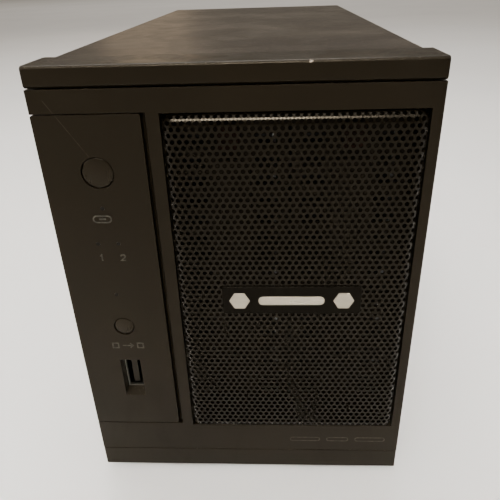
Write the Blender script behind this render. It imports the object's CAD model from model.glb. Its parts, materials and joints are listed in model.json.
import json
import math

import bmesh
import bpy
from mathutils import Matrix, Vector


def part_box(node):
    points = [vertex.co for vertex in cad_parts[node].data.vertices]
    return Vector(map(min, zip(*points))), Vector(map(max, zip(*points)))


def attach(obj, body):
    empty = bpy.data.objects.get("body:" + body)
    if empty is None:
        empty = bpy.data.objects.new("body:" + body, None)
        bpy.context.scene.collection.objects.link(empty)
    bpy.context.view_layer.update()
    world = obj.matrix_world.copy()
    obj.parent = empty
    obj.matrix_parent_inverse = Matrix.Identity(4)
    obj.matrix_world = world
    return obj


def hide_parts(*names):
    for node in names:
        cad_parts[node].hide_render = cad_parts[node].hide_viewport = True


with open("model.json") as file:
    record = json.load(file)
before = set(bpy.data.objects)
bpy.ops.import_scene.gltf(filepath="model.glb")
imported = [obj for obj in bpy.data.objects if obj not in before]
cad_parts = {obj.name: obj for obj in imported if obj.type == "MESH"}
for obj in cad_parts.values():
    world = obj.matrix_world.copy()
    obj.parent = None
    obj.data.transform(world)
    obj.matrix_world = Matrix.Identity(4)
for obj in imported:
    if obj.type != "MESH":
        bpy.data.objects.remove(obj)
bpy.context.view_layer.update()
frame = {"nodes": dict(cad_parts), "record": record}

MM = 0.001
CRISP_ANGLE = 50
nodes = frame["nodes"]


# ---------------------------------------------------------------- camera

def add_camera():
    """Looks down at the front from just above the case, as close as a phone is held."""
    azimuth, elevation, roll = (math.radians(a) for a in (3.05, 26.6, -1.89))
    front_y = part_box("door_frame")[0].y
    sheet_low, sheet_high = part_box("door_mesh")
    place = Vector(((sheet_low.x + sheet_high.x) / 2 - 4.85 * MM, front_y - 124 * MM, 160.2 * MM))
    back = Vector((math.sin(azimuth) * math.cos(elevation),
                   -math.cos(azimuth) * math.cos(elevation), math.sin(elevation)))
    right = Vector((0, 0, 1)).cross(back).normalized()
    up = back.cross(right)
    c, s = math.cos(roll), math.sin(roll)
    right, up = c * right + s * up, -s * right + c * up
    camera = bpy.data.objects.new("camera", bpy.data.cameras.new("camera"))
    camera.matrix_world = Matrix.Translation(place) @ Matrix((right, up, back)).transposed().to_4x4()
    camera.data.lens = 36.5
    camera.data.sensor_width = 36
    camera.data.shift_x = -0.002
    camera.data.shift_y = -0.044
    camera.data.clip_start = 0.005
    bpy.context.scene.collection.objects.link(camera)
    bpy.context.scene.camera = camera


# ---------------------------------------------------------------- node helpers

class Shader:
    """One material's node tree with short calls for the nodes it needs."""

    def __init__(self, name):
        self.material = bpy.data.materials.new(name)
        self.material.use_nodes = True
        self.tree = self.material.node_tree
        self.bsdf = self.tree.nodes["Principled BSDF"]
        self.place = self.tree.nodes.new("ShaderNodeTexCoord").outputs["Object"]

    def node(self, kind, **values):
        made = self.tree.nodes.new("ShaderNode" + kind)
        for key, value in values.items():
            setattr(made, key, value)
        return made

    def link(self, source, target):
        self.tree.links.new(source, target)

    def set(self, **values):
        for key, value in values.items():
            self.bsdf.inputs[key.replace("_", " ")].default_value = value

    def noise(self, scale, detail=4.0, stretch=(1, 1, 1), roughness=0.55, distortion=0.0):
        mapping = self.node("Mapping")
        mapping.inputs["Scale"].default_value = stretch
        self.link(self.place, mapping.inputs["Vector"])
        made = self.node("TexNoise")
        made.inputs["Scale"].default_value = scale
        made.inputs["Detail"].default_value = detail
        made.inputs["Roughness"].default_value = roughness
        made.inputs["Distortion"].default_value = distortion
        self.link(mapping.outputs["Vector"], made.inputs["Vector"])
        return made.outputs["Fac"]

    def ramp(self, source, low, high, to_low=0.0, to_high=1.0):
        made = self.node("MapRange", clamp=True)
        made.interpolation_type = "SMOOTHSTEP"
        for key, value in zip(("From Min", "From Max", "To Min", "To Max"),
                              (low, high, to_low, to_high)):
            made.inputs[key].default_value = value
        self.link(source, made.inputs["Value"])
        return made.outputs["Result"]

    def math(self, operation, a, b):
        made = self.node("Math", operation=operation)
        for socket, value in zip(made.inputs, (a, b)):
            if isinstance(value, (int, float)):
                socket.default_value = value
            else:
                self.link(value, socket)
        return made.outputs["Value"]

    def mix(self, factor, a, b):
        made = self.node("Mix", data_type="RGBA")
        for socket, value in zip((made.inputs[0], made.inputs[6], made.inputs[7]), (factor, a, b)):
            if isinstance(value, (int, float)):
                socket.default_value = value
            elif isinstance(value, tuple):
                socket.default_value = (*value, 1) if len(value) == 3 else value
            else:
                self.link(value, socket)
        return made.outputs[2]

    def upward(self):
        """1 on faces that look up, 0 on walls."""
        split = self.node("SeparateXYZ")
        self.link(self.node("NewGeometry").outputs["Normal"], split.inputs[0])
        return self.ramp(split.outputs["Z"], 0.35, 0.95)

    def edges(self, radius):
        """1 along sharp edges, from how far the rounded normal leaves the true one."""
        bevel = self.node("Bevel", samples=4)
        bevel.inputs["Radius"].default_value = radius
        geometry = self.node("NewGeometry")
        dot = self.node("VectorMath", operation="DOT_PRODUCT")
        self.link(bevel.outputs["Normal"], dot.inputs[0])
        self.link(geometry.outputs["Normal"], dot.inputs[1])
        return self.ramp(dot.outputs["Value"], 0.96, 0.80)

    def line(self, start, end, width):
        """1 on a straight scratch between two points of the front plane."""
        start, end = Vector((start[0], 0, start[1])), Vector((end[0], 0, end[1]))
        along = (end - start).normalized()
        across = Vector((-along.z, 0, along.x))
        reach = []
        for axis in (along, across):
            dot = self.node("VectorMath", operation="DOT_PRODUCT")
            self.link(self.place, dot.inputs[0])
            dot.inputs[1].default_value = axis
            reach.append(self.math("SUBTRACT", dot.outputs["Value"], axis.dot(start)))
        thin = self.ramp(self.math("ABSOLUTE", reach[1], 0), width, width * 0.3)
        begun = self.ramp(reach[0], 0, width * 4)
        ended = self.ramp(reach[0], (end - start).length, (end - start).length - width * 4)
        return self.math("MULTIPLY", thin, self.math("MULTIPLY", begun, ended))

    def bump(self, height, strength, distance, under=None):
        made = self.node("Bump")
        made.inputs["Strength"].default_value = strength
        made.inputs["Distance"].default_value = distance
        self.link(height, made.inputs["Height"])
        if under is not None:
            self.link(under, made.inputs["Normal"])
        return made.outputs["Normal"]


# ---------------------------------------------------------------- materials

def scaled(colour, factor):
    return tuple(min(1.0, channel * factor) for channel in colour)


WARM = (1.0, 0.87, 0.66, 1.0)


def handled_surface(name, colour, roughness, specular, grain=2600, grain_depth=0.02, smear=0.12,
                    dust=0.0, wear=0.0, scratch=0.25, metallic=0.0, chips=(), cuts=(), tint=(1, 1, 1, 1)):
    """Moulded plastic or paint that has been handled: grain, smears, fine scratches, dust, rubbed edges."""
    s = Shader(name)
    broad = s.noise(24, 3, distortion=0.6)
    smears = s.noise(75, 5, stretch=(1, 1, 0.3), distortion=1.5)
    fine = s.noise(grain, 3)
    streaks = s.noise(420, 2, stretch=(1, 1, 0.04), distortion=0.4)
    crossed = s.noise(380, 2, stretch=(0.05, 0.6, 1), distortion=0.5)
    lines = s.math("MAXIMUM", s.ramp(streaks, 0.70, 0.76), s.ramp(crossed, 0.71, 0.77))
    lines = s.math("MULTIPLY", lines, s.ramp(broad, 0.45, 0.7, 0.0, scratch))
    tone = s.mix(s.ramp(broad, 0.3, 0.7), scaled(colour, 0.86), scaled(colour, 1.2))
    tone = s.mix(s.ramp(fine, 0.35, 0.75, 0.0, 0.35), tone, scaled(colour, 1.55))
    tone = s.mix(s.math("MULTIPLY", lines, 0.5), tone, scaled(colour, 5))
    if wear:
        rubbed = s.math("MULTIPLY", s.edges(0.0006), s.ramp(s.noise(160, 4), 0.42, 0.7, 0.0, wear))
        tone = s.mix(rubbed, tone, scaled(colour, 4.5))
    if dust:
        specks = s.ramp(s.noise(1500, 2), 0.66, 0.74)
        haze = s.ramp(s.noise(34, 5, distortion=0.2), 0.4, 0.8, 0.0, 0.15)
        amount = s.math("MULTIPLY", s.math("MAXIMUM", specks, haze), s.upward())
        tone = s.mix(s.math("MULTIPLY", amount, dust), tone, (0.25, 0.21, 0.17))
    for place, radius in chips:
        reach = s.node("VectorMath", operation="DISTANCE")
        s.link(s.place, reach.inputs[0])
        reach.inputs[1].default_value = place
        ragged = s.math("ADD", reach.outputs["Value"], s.math("MULTIPLY", s.noise(1700, 3), radius * 2.4))
        tone = s.mix(s.ramp(ragged, radius * 2.1, radius * 1.8), tone, (0.24, 0.20, 0.16))
    for start, end, width in cuts:
        mark = s.math("MULTIPLY", s.line(start, end, width), s.ramp(s.noise(600, 3), 0.3, 0.6, 0.35, 1.0))
        tone = s.mix(s.math("MULTIPLY", mark, 0.75), tone, (0.036, 0.031, 0.024))
    s.link(tone, s.bsdf.inputs["Base Color"])
    rough = s.math("ADD", s.ramp(smears, 0.3, 0.75, roughness - smear, roughness + smear),
                   s.math("MULTIPLY", lines, -0.15))
    s.link(rough, s.bsdf.inputs["Roughness"])
    s.set(Specular_IOR_Level=specular, Specular_Tint=tint, Metallic=metallic)
    normal = s.bump(fine, 0.5, grain_depth * MM)
    s.link(s.bump(lines, 0.4, 0.01 * MM, normal), s.bsdf.inputs["Normal"])
    return s.material


def metal(name, colour, roughness, brushed=(1, 1, 1), scale=900, smear=0.12, tarnish=0.8):
    """Bare or plated metal with brushing along one axis, finger marks and slight tarnish."""
    s = Shader(name)
    broad = s.noise(40, 3, distortion=0.8)
    lines = s.noise(scale, 3, stretch=brushed)
    tone = s.mix(s.ramp(broad, 0.35, 0.7), colour, scaled(colour, tarnish))
    tone = s.mix(s.ramp(lines, 0.4, 0.8, 0.0, 0.4), tone, scaled(colour, 0.7))
    s.link(tone, s.bsdf.inputs["Base Color"])
    s.link(s.ramp(s.math("ADD", broad, s.math("MULTIPLY", lines, 0.6)), 0.5, 1.1,
                  roughness - smear, roughness + smear), s.bsdf.inputs["Roughness"])
    s.set(Metallic=1.0)
    s.link(s.bump(lines, 0.35, 0.01 * MM), s.bsdf.inputs["Normal"])
    return s.material


def galvanised(name):
    """Zinc-plated sheet with a faint spangle."""
    s = Shader(name)
    cells = s.node("TexVoronoi")
    cells.inputs["Scale"].default_value = 160
    s.link(s.place, cells.inputs["Vector"])
    spangle = s.node("SeparateColor")
    s.link(cells.outputs["Color"], spangle.inputs[0])
    tone = s.mix(s.ramp(spangle.outputs[0], 0.1, 0.9), (0.46, 0.47, 0.48), (0.62, 0.63, 0.64))
    tone = s.mix(s.ramp(s.noise(30, 4), 0.55, 0.8, 0.0, 0.4), tone, (0.34, 0.34, 0.33))
    s.link(tone, s.bsdf.inputs["Base Color"])
    s.link(s.ramp(spangle.outputs[1], 0.0, 1.0, 0.34, 0.5), s.bsdf.inputs["Roughness"])
    s.set(Metallic=1.0)
    s.link(s.bump(s.noise(1400, 2), 0.3, 0.01 * MM), s.bsdf.inputs["Normal"])
    return s.material


def circuit_board(name, mask=(0.012, 0.075, 0.032), track=(0.03, 0.16, 0.07)):
    """Solder mask over copper tracks, with tinned vias."""
    s = Shader(name)
    bricks = s.node("TexBrick")
    bricks.inputs["Scale"].default_value = 220
    bricks.inputs["Mortar Size"].default_value = 0.07
    turned = s.node("Mapping")
    turned.inputs["Rotation"].default_value = (math.radians(90), math.radians(35), math.radians(45))
    s.link(s.place, turned.inputs["Vector"])
    s.link(turned.outputs["Vector"], bricks.inputs["Vector"])
    dots = s.node("TexVoronoi")
    dots.inputs["Scale"].default_value = 420
    s.link(s.place, dots.inputs["Vector"])
    vias = s.ramp(dots.outputs["Distance"], 0.16, 0.10)
    tone = s.mix(s.ramp(bricks.outputs["Fac"], 0.2, 0.8), mask, track)
    tone = s.mix(s.ramp(s.noise(60, 2), 0.4, 0.7, 0.0, 0.5), tone, scaled(mask, 0.7))
    tone = s.mix(vias, tone, (0.55, 0.55, 0.5))
    s.link(tone, s.bsdf.inputs["Base Color"])
    s.link(s.ramp(s.noise(500, 2), 0.3, 0.7, 0.3, 0.45), s.bsdf.inputs["Roughness"])
    s.link(s.bump(bricks.outputs["Fac"], 0.4, 0.03 * MM), s.bsdf.inputs["Normal"])
    return s.material


def rubber(name, colour=(0.012, 0.012, 0.012)):
    """Matt black rubber with a fine grain and a little grey dust."""
    s = Shader(name)
    fine = s.noise(1800, 4)
    tone = s.mix(s.ramp(s.noise(90, 3), 0.35, 0.7), colour, scaled(colour, 2.2))
    tone = s.mix(s.ramp(fine, 0.62, 0.8, 0.0, 0.4), tone, (0.08, 0.07, 0.06))
    s.link(tone, s.bsdf.inputs["Base Color"])
    s.link(s.ramp(fine, 0.3, 0.7, 0.7, 0.9), s.bsdf.inputs["Roughness"])
    s.set(Specular_IOR_Level=0.3)
    s.link(s.bump(fine, 0.6, 0.04 * MM), s.bsdf.inputs["Normal"])
    return s.material


def clear_plastic(name, colour):
    """A small translucent light pipe, unlit and slightly cloudy."""
    s = Shader(name)
    cloud = s.noise(2200, 2)
    s.link(s.mix(s.ramp(cloud, 0.3, 0.7), colour, scaled(colour, 1.4)), s.bsdf.inputs["Base Color"])
    s.link(s.ramp(cloud, 0.3, 0.7, 0.35, 0.5), s.bsdf.inputs["Roughness"])
    s.set(Specular_IOR_Level=0.1)
    s.link(s.bump(cloud, 0.2, 0.01 * MM), s.bsdf.inputs["Normal"])
    return s.material


def printed_ink(name, colour):
    """Screen-printed ink that has thinned and worn in places."""
    s = Shader(name)
    worn = s.ramp(s.noise(900, 4), 0.4, 0.65)
    s.link(s.mix(worn, scaled(colour, 0.45), colour), s.bsdf.inputs["Base Color"])
    s.link(s.ramp(s.noise(1600, 2), 0.3, 0.7, 0.5, 0.7), s.bsdf.inputs["Roughness"])
    s.set(Specular_IOR_Level=0.2)
    s.link(s.bump(worn, 0.3, 0.005 * MM), s.bsdf.inputs["Normal"])
    return s.material


def pale_floor():
    """Plain pale paper for the object to stand on."""
    s = Shader("floor_paper")
    s.link(s.mix(s.ramp(s.noise(2.5, 3), 0.3, 0.7), (0.78, 0.775, 0.765), (0.82, 0.815, 0.805)),
           s.bsdf.inputs["Base Color"])
    s.link(s.ramp(s.noise(40, 3), 0.3, 0.7, 0.75, 0.85), s.bsdf.inputs["Roughness"])
    s.set(Specular_IOR_Level=0.1)
    return s.material


FRONT_COLOUR = (0.0056, 0.0040, 0.0020)


def make_materials():
    lip_low, lip_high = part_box("front_bezel")
    nick = ((19.0 * MM, lip_low.y + 0.3 * MM, lip_high.z - 0.5 * MM), 0.6 * MM)
    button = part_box("power_button")
    rim = ((button[0].x + button[1].x) / 2 - 1.3 * MM, button[1].z - 0.8 * MM)
    streak = ((rim[0] - 9.6 * MM, rim[1] + 15.2 * MM), rim, 0.15 * MM)
    return {
        "case_paint": handled_surface("case_paint", (0.0075, 0.0056, 0.0036), 0.38, 0.22, grain=1500,
                                      grain_depth=0.03, smear=0.045, dust=0.7, wear=0.35, scratch=0.5,
                                      tint=(1.0, 0.8, 0.6, 1.0)),
        "bezel_plastic": handled_surface("bezel_plastic", FRONT_COLOUR, 0.42, 0.14, dust=0.4, wear=0.3,
                                         scratch=0.3, chips=(nick,), cuts=(streak,), tint=WARM),
        "galvanised_steel": galvanised("galvanised_steel"),
        "panel_paint": handled_surface("panel_paint", (0.012, 0.012, 0.012), 0.5, 0.35, grain=1500,
                                       grain_depth=0.03, wear=0.3, scratch=0.5),
        "mesh_steel": handled_surface("mesh_steel", (0.0022, 0.0016, 0.0008), 0.25, 0.15, grain=1800,
                                      grain_depth=0.008, smear=0.07, scratch=0.1, wear=0.15, tint=WARM),
        "badge_black": handled_surface("badge_black", (0.0022, 0.0018, 0.0012), 0.32, 0.05, smear=0.08,
                                       tint=WARM),
        "badge_silver": metal("badge_silver", (0.50, 0.45, 0.36), 0.38, brushed=(0.05, 1, 1)),
        "button_plastic": handled_surface("button_plastic", FRONT_COLOUR, 0.32, 0.19, wear=0.6, tint=WARM),
        "light_pipe": clear_plastic("light_pipe", (0.0035, 0.0030, 0.0022)),
        "socket_steel": metal("socket_steel", (0.42, 0.40, 0.36), 0.34, brushed=(1, 0.1, 1)),
        "socket_plastic": handled_surface("socket_plastic", (0.62, 0.59, 0.5), 0.5, 0.4, scratch=0.1),
        "circuit_board": circuit_board("circuit_board"),
        "black_plastic": handled_surface("black_plastic", (0.009, 0.0078, 0.006), 0.45, 0.2, tint=WARM),
        "switch_plastic": handled_surface("switch_plastic", (0.03, 0.03, 0.032), 0.5, 0.4),
        "flat_cable": handled_surface("flat_cable", (0.5, 0.48, 0.43), 0.5, 0.4, scratch=0.1),
        "tray_plastic": handled_surface("tray_plastic", (0.014, 0.011, 0.0075), 0.48, 0.2, wear=0.2,
                                        tint=WARM),
        "release_plastic": handled_surface("release_plastic", (0.020, 0.007, 0.005), 0.42, 0.2, tint=WARM),
        "drive_casting": handled_surface("drive_casting", (0.02, 0.02, 0.022), 0.45, 0.5, grain=1200,
                                         grain_depth=0.06, metallic=0.4),
        "drive_lid": metal("drive_lid", (0.72, 0.73, 0.74), 0.35, brushed=(1, 0.05, 1)),
        "platter": metal("platter", (0.82, 0.83, 0.84), 0.12, smear=0.06, tarnish=0.95),
        "screw_steel": metal("screw_steel", (0.58, 0.58, 0.57), 0.3, scale=2500),
        "black_screw": metal("black_screw", (0.05, 0.05, 0.05), 0.38, scale=2500),
        "chip_epoxy": handled_surface("chip_epoxy", (0.018, 0.018, 0.02), 0.6, 0.4, grain=3500),
        "heatsink_metal": metal("heatsink_metal", (0.6, 0.61, 0.63), 0.35, brushed=(1, 0.05, 1)),
        "capacitor_sleeve": handled_surface("capacitor_sleeve", (0.015, 0.015, 0.06), 0.3, 0.5),
        "cell_steel": metal("cell_steel", (0.66, 0.66, 0.63), 0.3, scale=1500),
        "supply_laminate": circuit_board("supply_laminate", (0.22, 0.13, 0.04), (0.3, 0.2, 0.07)),
        "transformer_tape": handled_surface("transformer_tape", (0.5, 0.32, 0.03), 0.35, 0.5),
        "guard_wire": metal("guard_wire", (0.68, 0.68, 0.67), 0.2, scale=2500),
        "cable_sleeve": handled_surface("cable_sleeve", (0.035, 0.012, 0.012), 0.5, 0.4),
        "foot_rubber": rubber("foot_rubber"),
        "front_print": printed_ink("front_print", (0.050, 0.046, 0.034)),
        "floor_paper": pale_floor(),
    }


def dress_nodes(materials):
    """Every CAD node takes its record slot's material."""
    slots = {part["node"]: part["material_slot"] for part in frame["record"]["subparts"]}
    for name, obj in nodes.items():
        obj.data.materials.clear()
        obj.data.materials.append(materials[slots[name]])


def round_edges(obj, width, segments=2):
    """Welds a CAD mesh, clears its flat triangulation and rounds its sharp edges."""
    weld = obj.modifiers.new("weld", "WELD")
    weld.merge_threshold = 1e-6
    flat = obj.modifiers.new("flat", "DECIMATE")
    flat.decimate_type = "DISSOLVE"
    flat.angle_limit = math.radians(0.5)
    bevel = obj.modifiers.new("round", "BEVEL")
    bevel.width = width
    bevel.segments = segments
    bevel.limit_method = "ANGLE"
    bevel.angle_limit = math.radians(38)
    bevel.harden_normals = True
    bevel.miter_outer = "MITER_ARC"
    even = obj.modifiers.new("even", "WEIGHTED_NORMAL")
    even.weight = 100
    shade_smooth(obj.data)


def shade_smooth(data):
    data.polygons.foreach_set("use_smooth", [True] * len(data.polygons))


def split_crisp_edges(obj):
    crisp = obj.modifiers.new("crisp", "EDGE_SPLIT")
    crisp.split_angle = math.radians(CRISP_ANGLE)


# ---------------------------------------------------------------- perforated door sheet

HOLE_PITCH = 1.85 * MM
HOLE_RADIUS = 0.64 * MM
HOLE_SIDES = 12
ROLL_RADIUS = 3.2 * MM
SHEET_THICKNESS = 0.6 * MM
BORDER_PULL = 0.6
HOLE_MARGIN = 1.5 * HOLE_RADIUS


def rolled(along, half):
    """A length along the sheet becomes a place across it and how far it has turned into the roll."""
    flat = half - ROLL_RADIUS
    over = abs(along) - flat
    if over <= 0:
        return along, 0.0
    turn = min(over / ROLL_RADIUS, math.pi / 2)
    return math.copysign(flat + ROLL_RADIUS * math.sin(turn), along), ROLL_RADIUS * math.sin(turn)


def on_sheet(a, b, half_w, half_h):
    """The formed sheet's surface: flat in the middle, rolled back all round, as (across, up, depth)."""
    across, turn_x = rolled(a, half_w)
    up, turn_z = rolled(b, half_h)
    reach = math.hypot(turn_x, turn_z)
    if reach < ROLL_RADIUS * 0.9999:
        return across, up, ROLL_RADIUS - math.sqrt(ROLL_RADIUS ** 2 - reach ** 2)
    pull = ROLL_RADIUS / reach
    across = math.copysign(half_w - ROLL_RADIUS + turn_x * pull, a) if turn_x else across
    up = math.copysign(half_h - ROLL_RADIUS + turn_z * pull, b) if turn_z else up
    return across, up, ROLL_RADIUS + (reach - ROLL_RADIUS) * BORDER_PULL


def perforated_sheet(material):
    """The door's grille: a formed sheet with staggered punched holes that run on round its rolled border."""
    low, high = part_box("door_mesh")
    centre = (low + high) / 2
    half_w = (high.x - low.x) / 2
    half_h = (high.z - low.z) / 2
    arc_gain = ROLL_RADIUS * (math.pi / 2 - 1)
    limit_a, limit_b = half_w + arc_gain, half_h + arc_gain
    row_step = HOLE_PITCH * math.sqrt(3) / 2
    corner_radius = HOLE_PITCH / math.sqrt(3)
    sheet = bmesh.new()
    known = {}

    def vertex(a, b):
        a = max(-limit_a, min(limit_a, a))
        b = max(-limit_b, min(limit_b, b))
        key = (round(a * 1e7), round(b * 1e7))
        if key not in known:
            across, up, depth = on_sheet(a, b, half_w, half_h)
            known[key] = sheet.verts.new((centre.x + across, low.y + depth, centre.z + up))
        return known[key]

    def face(corners):
        kept = []
        for corner in corners:
            if corner not in kept:
                kept.append(corner)
        if len(kept) > 2 and sheet.faces.get(kept) is None:
            sheet.faces.new(kept)

    rows = math.ceil(limit_b / row_step) + 1
    columns = math.ceil(limit_a / HOLE_PITCH) + 1
    for row in range(-rows, rows + 1):
        for column in range(-columns, columns + 1):
            a = (column + 0.5 * (row % 2)) * HOLE_PITCH
            b = row * row_step
            rim = [(a + corner_radius * math.sin(math.radians(60 * i)),
                    b + corner_radius * math.cos(math.radians(60 * i))) for i in range(6)]
            if all(abs(x) >= limit_a or abs(z) >= limit_b for x, z in rim):
                continue
            holed = abs(a) + HOLE_MARGIN < limit_a and abs(b) + HOLE_MARGIN < limit_b
            outer = [vertex(*corner) for corner in rim]
            if not holed:
                face(outer)
                continue
            step = 360 / HOLE_SIDES
            inner = [vertex(a + HOLE_RADIUS * math.sin(math.radians(step * i)),
                            b + HOLE_RADIUS * math.cos(math.radians(step * i)))
                     for i in range(HOLE_SIDES)]
            per = HOLE_SIDES // 6
            for i in range(6):
                here, after = outer[i], outer[(i + 1) % 6]
                middle = inner[i * per + 1]
                face([here, inner[i * per], middle])
                face([here, middle, after])
                face([after, middle, inner[(i * per + 2) % HOLE_SIDES]])
    bmesh.ops.recalc_face_normals(sheet, faces=sheet.faces)
    mesh = bpy.data.meshes.new("perforated_sheet")
    sheet.to_mesh(mesh)
    sheet.free()
    if mesh.polygons[0].normal.y > 0:
        mesh.flip_normals()
    shade_smooth(mesh)
    obj = bpy.data.objects.new("perforated_sheet", mesh)
    bpy.context.scene.collection.objects.link(obj)
    solid = obj.modifiers.new("thickness", "SOLIDIFY")
    solid.thickness = SHEET_THICKNESS
    solid.offset = -1
    split_crisp_edges(obj)
    mesh.materials.append(material)
    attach(obj, "door")
    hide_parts("door_mesh")


# ---------------------------------------------------------------- buttons and prints

def finish_piece(name, mesh, material, body):
    """Closes a bmesh into an object that rides on a body."""
    bmesh.ops.recalc_face_normals(mesh, faces=mesh.faces)
    data = bpy.data.meshes.new(name)
    mesh.to_mesh(data)
    mesh.free()
    data.materials.append(material)
    obj = bpy.data.objects.new(name, data)
    bpy.context.scene.collection.objects.link(obj)
    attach(obj, body)
    return obj


def turned_button(node, material):
    """A flush round button: faintly domed face with a rounded rim, retaining collar and stem."""
    low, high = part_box(node)
    centre = (low + high) / 2
    collar = (high.x - low.x) / 2
    face = collar - 0.7 * MM
    depth = high.y - low.y
    profile = [(0, -0.22), (0.3, -0.19), (0.6, -0.11)]
    rings = [(face * share, y * MM) for share, y in profile]
    rim = 0.6 * MM
    collar_front, collar_back, stem = 2.6 * MM, 3.35 * MM, 1.5 * MM
    for turn in (0, 18, 36, 54, 72, 90):
        turn = math.radians(turn)
        rings.append((face - rim * (1 - math.sin(turn)), -0.02 * MM + rim * (1 - math.cos(turn))))
    rings += [(face, collar_front), (collar, collar_front), (collar, collar_back),
              (stem, collar_back), (stem, depth), (0, depth)]
    sides = 72
    mesh = bmesh.new()
    loops = []
    for radius, y in rings:
        count = 1 if radius == 0 else sides
        loops.append([mesh.verts.new((centre.x + radius * math.sin(math.tau * i / sides), low.y + y,
                                      centre.z + radius * math.cos(math.tau * i / sides)))
                      for i in range(count)])
    for here, after in zip(loops, loops[1:]):
        for i in range(sides):
            j = (i + 1) % sides
            if len(here) == 1:
                mesh.faces.new((here[0], after[i], after[j]))
            elif len(after) == 1:
                mesh.faces.new((here[i], after[0], here[j]))
            else:
                mesh.faces.new((here[i], after[i], after[j], here[j]))
    obj = finish_piece(node + "_cap", mesh, material, node)
    shade_smooth(obj.data)
    split_crisp_edges(obj)
    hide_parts(node)


def ribbon(mesh, points, width, front_y, closed=False, depth=0.03 * MM):
    """A raised line of constant width along points in the front plane."""
    points = [Vector(point) for point in points]
    rings = []
    for i, point in enumerate(points):
        ways = []
        if closed or i > 0:
            ways.append((point - points[i - 1]).normalized())
        if closed or i < len(points) - 1:
            ways.append((points[(i + 1) % len(points)] - point).normalized())
        along = sum(ways, Vector((0, 0))).normalized()
        across = Vector((-along.y, along.x))
        reach = width / 2 / max(0.5, across.dot(Vector((-ways[0].y, ways[0].x))))
        shift = across * reach
        back_y = front_y + depth
        rings.append([mesh.verts.new((point.x + side * shift.x, y, point.y + side * shift.y))
                      for side, y in ((1, front_y), (-1, front_y), (-1, back_y), (1, back_y))])
    pairs = list(zip(rings, rings[1:])) + ([(rings[-1], rings[0])] if closed else [])
    for here, after in pairs:
        for i in range(4):
            j = (i + 1) % 4
            mesh.faces.new((here[i], here[j], after[j], after[i]))
    if not closed:
        mesh.faces.new(rings[0])
        mesh.faces.new(rings[-1])


def stadium(cx, cz, half_w, half_h, steps=8):
    """A flat oval with round ends, as a closed path."""
    path = []
    for side in (1, -1):
        for i in range(steps + 1):
            turn = math.radians(90 - 180 * i / steps)
            path.append((cx + side * (half_w - half_h + half_h * math.cos(turn)),
                         cz + side * half_h * math.sin(turn)))
    return path


def front_prints(material):
    """Worn screen prints: a drive symbol, numerals for the two drives, a copy symbol, and a plain mark."""
    panel_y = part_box("control_panel")[0].y - 0.02 * MM
    line = 0.42 * MM
    symbol_z, numeral_z, copy_z, mark_z = 101.1, 88.9, 57.2, 16.6
    column, sheet = ((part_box(node)[0].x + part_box(node)[1].x) / 2 / MM
                     for node in ("power_button", "door_mesh"))

    def scaled_path(path, x, z):
        return [((x + px) * MM, (z + pz) * MM) for px, pz in path]

    drive = bmesh.new()
    ribbon(drive, scaled_path(stadium(0, 0, 2.5, 0.95), column - 0.85, symbol_z), line, panel_y, closed=True)
    ribbon(drive, scaled_path([(-0.9, 0), (1.0, 0)], column - 0.85, symbol_z), 0.5 * MM, panel_y)
    finish_piece("drive_symbol", drive, material, "chassis")
    digits = bmesh.new()
    ribbon(digits, scaled_path([(-0.5, 0.5), (0, 0.95), (0, -0.95)], column - 2.9, numeral_z), line, panel_y)
    ribbon(digits, scaled_path([(-0.65, 0.45), (-0.4, 0.85), (0.35, 0.9), (0.65, 0.45), (0.45, 0.0),
                                (-0.65, -0.9), (0.75, -0.9)], column + 3.2, numeral_z), line, panel_y)
    finish_piece("drive_numerals", digits, material, "chassis")
    copy = bmesh.new()
    for x in (column - 3.7, column + 4.1):
        ribbon(copy, scaled_path([(-0.9, -0.9), (0.9, -0.9), (0.9, 0.9), (-0.9, 0.9)], x, copy_z), line,
               panel_y, closed=True)
    ribbon(copy, scaled_path([(-1.7, 0), (1.5, 0)], column + 0.2, copy_z), line, panel_y)
    ribbon(copy, scaled_path([(0.7, 0.85), (1.65, 0), (0.7, -0.85)], column + 0.2, copy_z), line, panel_y)
    finish_piece("copy_symbol", copy, material, "chassis")
    mark = bmesh.new()
    for x, half in ((sheet + 4.75, 5.0), (sheet + 15.75, 3.6), (sheet + 26.75, 5.0)):
        ribbon(mark, scaled_path(stadium(0, 0, half, 0.8), x, mark_z), 0.3 * MM, panel_y, closed=True)
    finish_piece("door_mark", mark, material, "door")


def groove_flange(material):
    """The panel's bent flange, seen a few millimetres down the groove beside the door."""
    low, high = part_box("control_panel")
    profile = [(0, 2.6), (0, 1.5), (0.3, 1.2), (0.9, 1.0), (0.9, 2.6)]
    mesh = bmesh.new()
    rings = [[mesh.verts.new((high.x + x * MM, low.y + y * MM, z)) for x, y in profile]
             for z in (low.z, high.z)]
    for i in range(len(profile)):
        j = (i + 1) % len(profile)
        mesh.faces.new((rings[0][i], rings[0][j], rings[1][j], rings[1][i]))
    mesh.faces.new(rings[0])
    mesh.faces.new(rings[1])
    obj = finish_piece("groove_flange", mesh, material, "chassis")


# ---------------------------------------------------------------- stage

def add_floor(material):
    """A large flat floor, a hair below the feet."""
    size, drop = 12.0, 0.2 * MM
    mesh = bpy.data.meshes.new("floor")
    corners = [(-size, -size, 0), (size, -size, 0), (size, size, 0), (-size, size, 0)]
    mesh.from_pydata([(x, y, z - drop) for x, y, z in corners], [], [(0, 1, 2, 3)])
    mesh.materials.append(material)
    floor = bpy.data.objects.new("floor", mesh)
    bpy.context.scene.collection.objects.link(floor)


PLAIN_LIGHT = (1.0, 0.97, 0.93)


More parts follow.
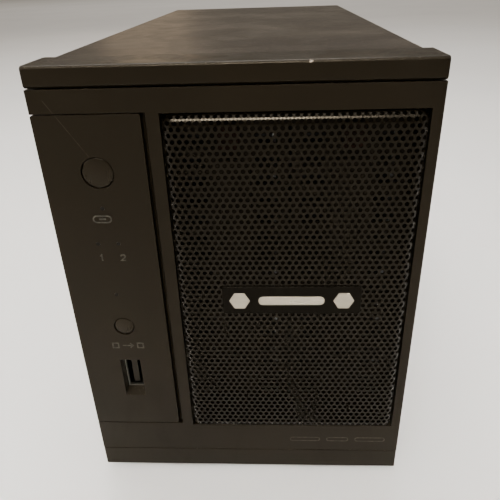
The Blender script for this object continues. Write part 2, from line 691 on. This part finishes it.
def add_area_light(name, place, target, size, power, colour, spread=180):
    light = bpy.data.lights.new(name, "AREA")
    light.spread = math.radians(spread)
    light.shape = "RECTANGLE"
    light.size, light.size_y = size
    light.energy = power
    light.color = colour
    obj = bpy.data.objects.new(name, light)
    obj.location = place
    obj.rotation_euler = (Vector(target) - Vector(place)).to_track_quat("-Z", "Y").to_euler()
    bpy.context.scene.collection.objects.link(obj)


def add_lights():
    world = bpy.data.worlds.new("studio")
    bpy.context.scene.world = world
    world.use_nodes = True
    world.node_tree.nodes["Background"].inputs["Color"].default_value = (1.0, 0.84, 0.64, 1)
    world.node_tree.nodes["Background"].inputs["Strength"].default_value = 0.2
    for light in (
            ("front_strip", (-0.2, -1.02, 1.3), (0, -0.11, 0.13), (1.0, 0.3), 7, PLAIN_LIGHT),
            ("edge_line", (-0.1, -1.0, 1.28), (0.01, -0.11, 0.12), (0.9, 0.16), 1.6, (1.0, 0.96, 0.9), 32),
            ("far_floor", (0.0, 3.4, 3.0), (0, 3.6, 0), (4.0, 2.0), 60, PLAIN_LIGHT),
            ("rear_strip", (-0.2, 0.45, 1.3), (0, -0.11, 0.13), (1.0, 0.4), 17, PLAIN_LIGHT),
            ("overhead", (0.0, -0.2, 1.4), (0, -0.1, 0.1), (0.8, 0.5), 6, PLAIN_LIGHT),
            ("left_fill", (-1.1, -0.9, 0.55), (0, -0.1, 0.05), (0.5, 0.45), 7, (1.0, 0.96, 0.9)),
            ("right_fill", (1.2, -0.7, 0.7), (0, -0.1, 0.07), (0.9, 0.9), 5, PLAIN_LIGHT),
            ("back_glow", (-0.42, 1.6, 0.5), (0, 0, 0.07), (0.3, 0.5), 0.35, (1.0, 0.72, 0.45))):
        add_area_light(*light)


# ---------------------------------------------------------------- build

materials = make_materials()
add_camera()
add_floor(materials["floor_paper"])
add_lights()
dress_nodes(materials)
for shell, width in (("front_bezel", 0.35), ("door_frame", 0.35), ("control_panel", 0.3),
                     ("outer_cover", 0.3), ("rear_panel", 0.2), ("badge_plate", 0.25),
                     ("badge_emblem", 0.1), ("rubber_feet", 0.5), ("ac_inlet", 0.25),
                     ("ethernet_jack", 0.12), ("rear_usb_ports", 0.12), ("cover_screws", 0.15),
                     ("fan_screws", 0.15), ("fan_rotor", 0.2), ("fan_frame", 0.25),
                     ("tray_left_frame", 0.2), ("tray_right_frame", 0.2), ("tray_left_handle", 0.3),
                     ("tray_right_handle", 0.3), ("tray_left_button", 0.2), ("tray_right_button", 0.2)):
    round_edges(nodes[shell], width * MM)
perforated_sheet(materials["mesh_steel"])
for button in ("power_button", "backup_button"):
    turned_button(button, materials["button_plastic"])
front_prints(materials["front_print"])
groove_flange(materials["bezel_plastic"])
